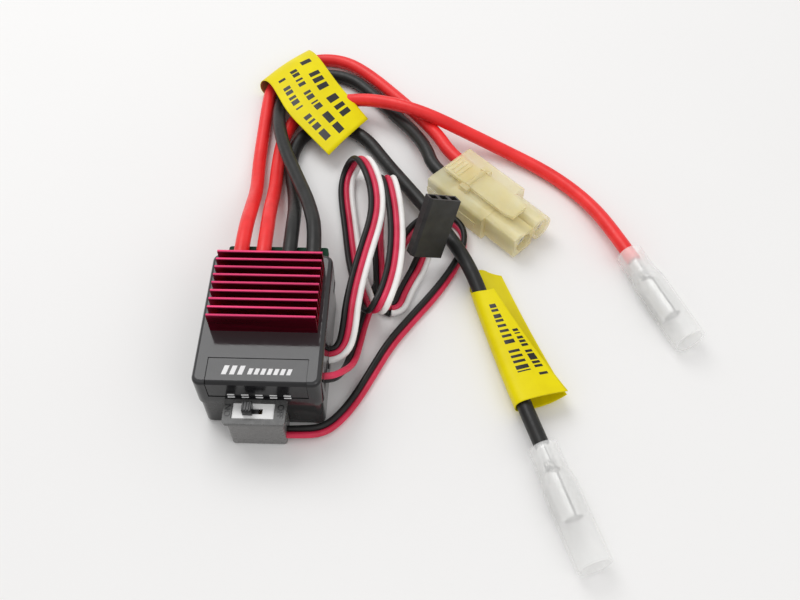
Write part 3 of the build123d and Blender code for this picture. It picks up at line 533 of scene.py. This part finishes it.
# the servo lead: out of the case, two long folded loops, then up into its connector
servo_route = [
    ((10.9, -3.0, 6.4), unit(-90)), ((13.6, -3.0, 6.4), unit(-90)),
    ((15.4, -1.0, 6.9), unit(-45)), ((16.0, 1.6, 7.6), unit(-15)), ((16.3, 4.8, 8.4), ACROSS),
    ((16.4, 8.0, 8.6), ACROSS), ((17.1, 14.7, 8.5), ACROSS), ((18.5, 22.8, 8.5), ACROSS),
    ((20.1, 30.8, 8.5), ACROSS), ((20.4, 36.3, 8.6), ACROSS), ((19.6, 42.0, 8.8), ACROSS),
    ((17.8, 47.4, 8.8), ACROSS), ((15.8, 51.6, 7.4), ACROSS), ((14.0, 53.2, 4.0), ACROSS),
    ((12.4, 51.6, 1.2), ACROSS), ((12.0, 47.6, 1.0), ACROSS), ((12.6, 42.4, 1.0), ACROSS),
    ((13.6, 36.8, 1.0), ACROSS), ((14.5, 31.0, 1.4), ACROSS), ((15.6, 24.2, 2.4), ACROSS),
    ((17.1, 18.4, 3.2), ACROSS), ((18.7, 13.6, 3.4), ACROSS), ((20.0, 9.8, 4.6), ACROSS),
    ((21.4, 8.0, 6.6), ACROSS), ((22.8, 9.2, 8.6), ACROSS), ((24.0, 13.2, 8.8), ACROSS),
    ((24.9, 18.8, 8.5), ACROSS), ((25.2, 25.8, 8.5), ACROSS), ((24.8, 32.4, 8.5), ACROSS),
    ((24.0, 38.0, 8.5), ACROSS), ((22.9, 43.0, 8.4), ACROSS), ((22.0, 46.4, 6.6), ACROSS),
    ((21.4, 46.8, 3.2), ACROSS), ((21.2, 43.4, 1.4), ACROSS), ((21.0, 38.4, 1.2), ACROSS),
    ((21.0, 32.6, 2.0), ACROSS), ((21.4, 27.2, 2.9), ACROSS), ((21.9, 21.8, 2.5), ACROSS),
    ((22.2, 16.6, 1.3), ACROSS), ((23.2, 12.6, 1.0), ACROSS), ((26.0, 12.8, 1.0), unit(-12)),
    ((27.2, 17.0, 1.0), unit(-22)), ((28.8, 20.8, 1.1), unit(-20)),
    ((30.17, 23.28, 1.94), unit(-5)), ((31.3, 25.0, 5.3), connector_across),
]
servo_lead, servo_path = ribbon("servo_ribbon", servo_route,
                                [strand_black, strand_red, strand_white])
belong(servo_lead, "lead_insulation", "servo_lead", "servo_lead_hank", "servo_lead_end")

# the switch lead: out of the case, under the servo lead, round, and into the switch
switch_route = [
    ((10.7, -10.9, 10.7), UPRIGHT), ((13.7, -10.9, 10.7), UPRIGHT),
    ((15.6, -8.9, 9.4), leaning(10, -60)), ((16.6, -5.6, 6.6), leaning(-4, -25)),
    ((17.1, -1.6, 3.8), leaning(-8, 10)), ((17.6, 3.4, 1.8), leaning(-8, 30)),
    ((18.5, 9.6, 1.15), leaning(-10, 38)), ((20.5, 16.8, 1.15), leaning(-18, 38)),
    ((23.4, 24.2, 1.15), leaning(-22, 38)), ((26.2, 31.4, 1.15), leaning(-26, 38)),
    ((29.4, 37.0, 1.15), leaning(-50, 40)), ((34.6, 39.4, 1.2), leaning(-90, 48)),
    ((39.4, 36.6, 1.3), leaning(-130, 65)), ((40.6, 30.6, 1.4), leaning(0, 90)),
    ((37.8, 23.4, 1.3), leaning(-30, 60)), ((33.6, 16.4, 1.2), leaning(-32, 46)),
    ((28.8, 9.8, 1.15), leaning(-36, 42)), ((24.4, 3.4, 1.15), leaning(-34, 40)),
    ((21.2, -3.4, 1.15), leaning(-26, 40)), ((18.2, -9.8, 1.15), leaning(-30, 40)),
    ((15.0, -14.7, 1.15), leaning(-45, 40)), ((11.9, -17.7, 1.6), leaning(-65, 30)),
    ((7.6, -18.5, 2.2), leaning(-90, 15)), ((3.4, -18.5, 2.2), unit(-90)),
]
switch_lead, switch_path = ribbon("switch_ribbon", switch_route, [strand_black, strand_red])
belong(switch_lead, "lead_insulation", "switch_lead")


# ---- printed film labels ------------------------------------------------------------------
film_thickness = 0.14
film_lowest = 0.2


def inked(rows, along, across):
    """Whether a spot on a film, in millimetres, falls on one of its plain printed blocks."""
    for start, end, first, last, pitch, word in rows:
        if start <= across <= end and first <= along <= last:
            block = int((along - first) / pitch)
            share = (along - first) / pitch - block
            return share < (0.72, 0.55, 0.8, 0.62, 0.7)[block % 5] and block % word != word - 1
    return False


def film_label(name, node, edge_a, edge_b, rows, turned, back, wide_cells=46, bow=0.0,
               sag=Vector()):
    """A curled film between two matching edges, printed outside and closed at its rim."""
    first = spline_path(edge_a, 12)
    second = spline_path(edge_b, 12)
    long_cells = len(first) - 1
    reach = [0.0]
    for i in range(long_cells):
        reach.append(reach[-1] + ((first[i + 1] - first[i]).length
                                  + (second[i + 1] - second[i]).length) / 2)
    shares = [j / wide_cells for j in range(wide_cells + 1)]
    grid = [[a.lerp(b, t) + sag * 4 * t * (1 - t) for t in shares]
            for a, b in zip(first, second)]
    for line in grid:
        for point in line:
            point.z = max(point.z, film_lowest)
    length = reach[-1]
    width = sum((a - b).length for a, b in zip(first, second)) / len(first)
    outer, inner = [], []
    for i, line in enumerate(grid):
        ahead = grid[min(i + 1, long_cells)]
        behind = grid[max(i - 1, 0)]
        for j, point in enumerate(line):
            run = ahead[j] - behind[j]
            side = line[min(j + 1, wide_cells)] - line[max(j - 1, 0)]
            normal = side.cross(run).normalized()
            swell = bow * math.sin(math.pi * j / wide_cells)
            outer.append(point + normal * (swell + film_thickness / 2))
            inner.append(point + normal * (swell - film_thickness / 2))
    row = wide_cells + 1
    under = len(outer)
    faces, slots = [], []
    for i in range(long_cells):
        for j in range(wide_cells):
            a = i * row + j
            along, across = (reach[i] + reach[i + 1]) / 2, (j + 0.5) / wide_cells * width
            if turned:
                along, across = across, along
            faces.append((a, a + 1, a + row + 1, a + row))
            slots.append(1 if inked(rows, along, across) else 0)
            faces.append((under + a, under + a + row, under + a + row + 1, under + a + 1))
            slots.append(2)
    rim = ([i * row for i in range(long_cells + 1)]
           + [long_cells * row + j for j in range(1, row)]
           + [i * row + wide_cells for i in range(long_cells - 1, -1, -1)]
           + [j for j in range(wide_cells - 1, 0, -1)])
    for a, b in zip(rim, rim[1:] + rim[:1]):
        faces.append((a, b, under + b, under + a))
        slots.append(0)
    piece = place(name, mesh_from(name, outer + inner, faces, slots))
    for made in (materials["yellow_film"], print_black, back):
        piece.data.materials.append(made)
    belong(piece, "yellow_film", node)
    return piece, (length * MM, width * MM)


# rows of blocks: across from, across to, along from, along to, pitch, blocks to a word
battery_label, battery_label_size = film_label(
    "battery_label_film", "flag_label_battery",
    [(7.5, 55.2, 4.0), (2.0, 61.0, 5.2), (-3.5, 67.1, 6.2), (-6.5, 72.6, 6.7),
     (-8.5, 76.5, 6.7), (-10.4, 79.1, 6.0), (-11.9, 80.3, 4.6), (-12.6, 80.6, 2.6),
     (-12.1, 80.1, 1.0), (-10.9, 79.3, 0.35)],
    [(16.3, 67.7, 4.0), (12.0, 72.9, 5.4), (8.2, 77.7, 6.3), (5.3, 82.5, 6.6),
     (3.1, 86.3, 6.6), (1.2, 89.6, 6.0), (-0.7, 92.6, 4.6), (-1.5, 94.2, 2.6),
     (-1.2, 94.0, 1.0), (-0.4, 93.2, 0.35)],
    [(10.4, 13.8, 5.0, 27.5, 2.6, 4), (6.2, 8.4, 2.6, 27.0, 1.7, 5),
     (2.1, 4.2, 3.6, 25.0, 1.7, 6)],
    turned=False, back=film_back, bow=0.5)
past_hank_x = 30
black_path = [p for p in spline_path(wire_routes["motor_wire_black"]) if p.x > past_hank_x]


def on_black_wire(y):
    """The middle of the black motor wire where it passes this level of y."""
    return min(black_path, key=lambda p: abs(p.y - y)).copy()


label_levels = (14.5, 1.4, -11.7)
label_top, label_middle, label_foot = (on_black_wire(y) for y in label_levels)
down_wire = (label_foot - label_top).normalized()
beside_wire = Vector((-down_wire.y, down_wire.x, 0)).normalized()
# beside the wire, above its middle and back along it
top_section = [(6.4, -1.4, 5.6), (4.8, -1.9, 6.8), (3.0, -2.2, 9.2), (1.2, -2.2, 8.8),
               (-0.7, -2.15, 6.0), (-1.7, -1.3, 3.4), (-1.9, 0.0, 2.0), (-1.7, 1.3, 1.1),
               (-0.8, 2.1, 0.6), (0.4, 2.3, 0.3), (1.4, 2.5, 0.1), (2.4, 2.8, 0.0)]
foot_section = [(9.0, 0.2, 0), (7.0, -1.4, 0), (4.4, -2.2, 0), (1.6, -2.4, 0),
                (-0.8, -2.2, 0), (-1.8, -1.35, 0), (-2.0, 0.0, 0), (-1.8, 1.35, 0),
                (-0.8, 2.15, 0), (1.0, 2.35, 0), (4.8, 2.4, 0), (9.0, 1.7, 0)]
label_sag = label_middle - (label_top + label_foot) / 2
motor_label, motor_label_size = film_label(
    "motor_label_film", "flag_label_motor",
    [label_top + beside_wire * s + UPRIGHT * z - down_wire * back
     for s, z, back in top_section],
    [label_foot + beside_wire * s + UPRIGHT * z - down_wire * back
     for s, z, back in foot_section],
    [(18.0, 20.2, 4.0, 24.0, 1.5, 9), (21.0, 22.5, 12.0, 26.0, 1.1, 6),
     (23.1, 24.0, 15.0, 26.5, 0.85, 8)],
    turned=True, back=materials["yellow_film"], wide_cells=84, sag=label_sag)


# ---- crimped terminals on the motor wires -------------------------------------------------
# along the wire from the crimp, outer radius, half of the opening on top in degrees
crimp_stations = [
    (2.2, 1.5, 112), (3.2, 1.5, 108), (3.6, 1.48, 96), (3.85, 1.48, 4), (4.2, 1.48, 4),
    (4.35, 1.38, 4), (4.6, 1.38, 4), (4.75, 1.48, 4), (5.15, 1.48, 4), (5.3, 1.38, 4),
    (5.55, 1.38, 4), (5.7, 1.48, 4), (6.9, 1.44, 4), (7.1, 1.48, 92), (8.2, 1.56, 92),
    (9.0, 1.85, 70), (9.7, 2.22, 26), (10.2, 2.3, 6), (13.0, 2.3, 6), (13.3, 2.2, 6),
    (13.7, 2.2, 6), (14.0, 2.3, 6), (18.6, 2.3, 6), (18.9, 2.22, 6), (19.0, 2.12, 6),
]
sheet_thickness = 0.3
around = 30
bare_strand_radius = 0.2
strand_ring = 8
# along the wire from the crimp, and how far the bared strands spread there
bundle_stations = [(2.8, 1.0), (4.8, 0.96), (6.9, 1.04)]
bundle_tip, tip_scatter, tip_spread = 7.6, 0.45, 1.16


def crimp_terminal(colour):
    """A rolled sheet terminal: a grooved wire grip and a split round socket."""
    start, along = motor_ends[colour]
    side = along.cross(UPRIGHT)

    def spot(distance, radius, angle):
        return (start + along * distance
                + (side * math.sin(angle) + UPRIGHT * math.cos(angle)) * radius)

    vertices, faces = [], []
    for distance, radius, gap in crimp_stations:
        angles = [math.radians(gap + (360 - 2 * gap) * i / around) for i in range(around + 1)]
        vertices += [spot(distance, radius, angle) for angle in angles]
        vertices += [spot(distance, radius - sheet_thickness, a) for a in reversed(angles)]
    loop = 2 * (around + 1)
    for station in range(len(crimp_stations) - 1):
        for i in range(loop):
            a = station * loop + i
            b = station * loop + (i + 1) % loop
            faces.append((a, a + loop, b + loop, b))
    last = (len(crimp_stations) - 1) * loop
    for i in range(around):
        faces.append((i, i + 1, loop - 2 - i, loop - 1 - i))
        faces.append((last + i + 1, last + i, last + loop - 1 - i, last + loop - 2 - i))
    # the bared strands, in two rings round a middle one
    layout = [(0.0, 0.0)] + [(0.42, 60 * i) for i in range(6)] + [(0.84, 30 * i)
                                                                 for i in range(12)]
    for number, (radius, angle) in enumerate(layout):
        base = len(vertices)
        middle = spot(0, radius, math.radians(angle)) - start
        tip = bundle_tip + tip_scatter * math.sin(number * 2.4)
        for distance, spread in bundle_stations + [(tip, tip_spread)]:
            for i in range(strand_ring):
                turn = math.radians(360 * i / strand_ring)
                vertices.append(start + along * distance + middle * spread
                                + (side * math.sin(turn) + UPRIGHT * math.cos(turn))
                                * bare_strand_radius)
        for step in range(len(bundle_stations)):
            for i in range(strand_ring):
                a = base + step * strand_ring + i
                b = base + step * strand_ring + (i + 1) % strand_ring
                faces.append((a, a + strand_ring, b + strand_ring, b))
        faces.append(tuple(range(base, base + strand_ring)))
        end = base + len(bundle_stations) * strand_ring
        faces.append(tuple(reversed(range(end, end + strand_ring))))
    name = "motor_crimp_" + colour
    piece = place(name, mesh_from(name, vertices, faces, smooth=False))
    piece.data.materials.append(materials["tin"])
    return belong(piece, "tin", "motor_terminal_" + colour)


crimps = {colour: crimp_terminal(colour) for colour in motor_ends}


# ---- marks: plain printed bars on the plate, painted highlight dashes on the case front, and the two switch positions ---
bar_rings = ((-0.1, 0.0), (0.03, 0.0), (0.06, 0.05))  # height above the face, and inset
word_size, word_height, word_bevel, word_gap = 1.7, 0.05, 0.015, 0.02
word_row_y = -18.2


def bars(name, finish, slot, origin, right, up, places):
    """Low bars in one mesh: each is its left, foot, width, height and slant, in millimetres."""
    out = right.cross(up)
    vertices, faces = [], []
    for left, foot, width, height, slant in places:
        base = len(vertices)
        corners = [(left, foot), (left + width, foot), (left + width + slant, foot + height),
                   (left + slant, foot + height)]
        centre = (left + (width + slant) / 2, foot + height / 2)
        for level, inset in bar_rings:
            for x, y in corners:
                x -= math.copysign(inset, x - centre[0])
                y -= math.copysign(inset, y - centre[1])
                vertices.append(origin + right * x + up * y + out * level)
        for layer in (0, 4):
            for i in range(4):
                a, b = base + layer + i, base + layer + (i + 1) % 4
                faces.append((a, b, b + 4, a + 4))
        faces.append((base + 3, base + 2, base + 1, base))
        faces.append((base + 8, base + 9, base + 10, base + 11))
    piece = place(name, mesh_from(name, vertices, faces, smooth=False))
    piece.data.materials.append(finish)
    return belong(piece, slot)


AHEAD = Vector((0, 1, 0))
plate_top = high("label_plate").z
bars("plate_print", print_and_highlight_white, "label_black", Vector((-6.8, -13.6, plate_top)), ACROSS, AHEAD,
     [(x * 1.55, 0.0, 0.95, 2.0, 0.5) for x in range(3)]
     + [(5.0 + x * 1.25, 0.1, 0.8, 1.35, 0.35) for x in range(7)])
case_front = low("case_cover").y
# painted highlights: thin white dashes across the case front, for light caught on its raised
# lettering
bars("case_front_painted_highlights", print_and_highlight_white, "smoke_plastic", Vector((-6.0, case_front, 10.7)), ACROSS,
     UPRIGHT, [(x * 2.75, foot, 1.4, 0.22, 0.0) for x in range(5) for foot in (0.0, 0.9)])


def switch_word(word, x, turn):
    """A small raised word on the switch flange, read along the case."""
    data = bpy.data.curves.new("word", "FONT")
    data.body = word
    data.size = word_size * MM
    data.extrude = word_height * MM
    data.bevel_depth = word_bevel * MM
    data.align_x = "CENTER"
    data.align_y = "CENTER"
    guide = place("word_guide", data)
    mesh = bpy.data.meshes.new_from_object(guide)
    bpy.data.objects.remove(guide)
    level = high("switch_housing").z
    mesh.transform(Matrix.Translation(Vector((x, word_row_y, level + word_gap)) * MM)
                   @ Matrix.Rotation(math.radians(turn), 4, "Z"))
    mesh.materials.clear()
    mesh.materials.append(materials["knob_black"])
    return belong(place("switch_word_" + word.lower(), mesh), "knob_black")


switch_word("ON", -5.75, 90)
switch_word("OFF", 4.4, -90)


# ---- floor and light --------------------------------------------------------------------
floor_size, floor_cells, floor_level = 2400, 12, -0.02
sky_strength = 0.70
lamp_aim = Vector((25, 25, 0))
# name, place, width and power
lamps = [("key", (-180, 330, 520), 420, 1.55), ("fill", (330, -260, 420), 320, 0.4)]


def make_stage():
    """A pale level floor, a white sky and two soft lamps."""
    floor_finish = Finish("floor", (0.86, 0.855, 0.85), 0.7, Specular_IOR_Level=0.2)
    floor_finish.tint(floor_finish.noise(6), 0.3, 0.7, (0.85, 0.845, 0.84), (0.87, 0.866, 0.862))
    floor_finish.relief(floor_finish.noise(900), 0.05, 0.02)
    step = floor_size / floor_cells
    row = floor_cells + 1
    vertices = [(x * step - floor_size / 2, y * step - floor_size / 2, floor_level)
                for y in range(row) for x in range(row)]
    faces = [(y * row + x, y * row + x + 1, (y + 1) * row + x + 1, (y + 1) * row + x)
             for y in range(floor_cells) for x in range(floor_cells)]
    floor = place("floor", mesh_from("floor", vertices, faces))
    floor.data.materials.append(floor_finish.material)
    world = bpy.data.worlds.new("sky")
    world.use_nodes = True
    world.node_tree.nodes["Background"].inputs["Color"].default_value = (1.0, 0.995, 0.99, 1)
    world.node_tree.nodes["Background"].inputs["Strength"].default_value = sky_strength
    scene.world = world
    for name, where, width, power in lamps:
        data = bpy.data.lights.new(name, "AREA")
        data.shape = "DISK"
        data.size = width * MM
        data.energy = power
        lamp = place(name, data)
        lamp.location = Vector(where) * MM
        aim = lamp_aim * MM - lamp.location
        lamp.rotation_euler = aim.to_track_quat("-Z", "Y").to_euler()


make_stage()
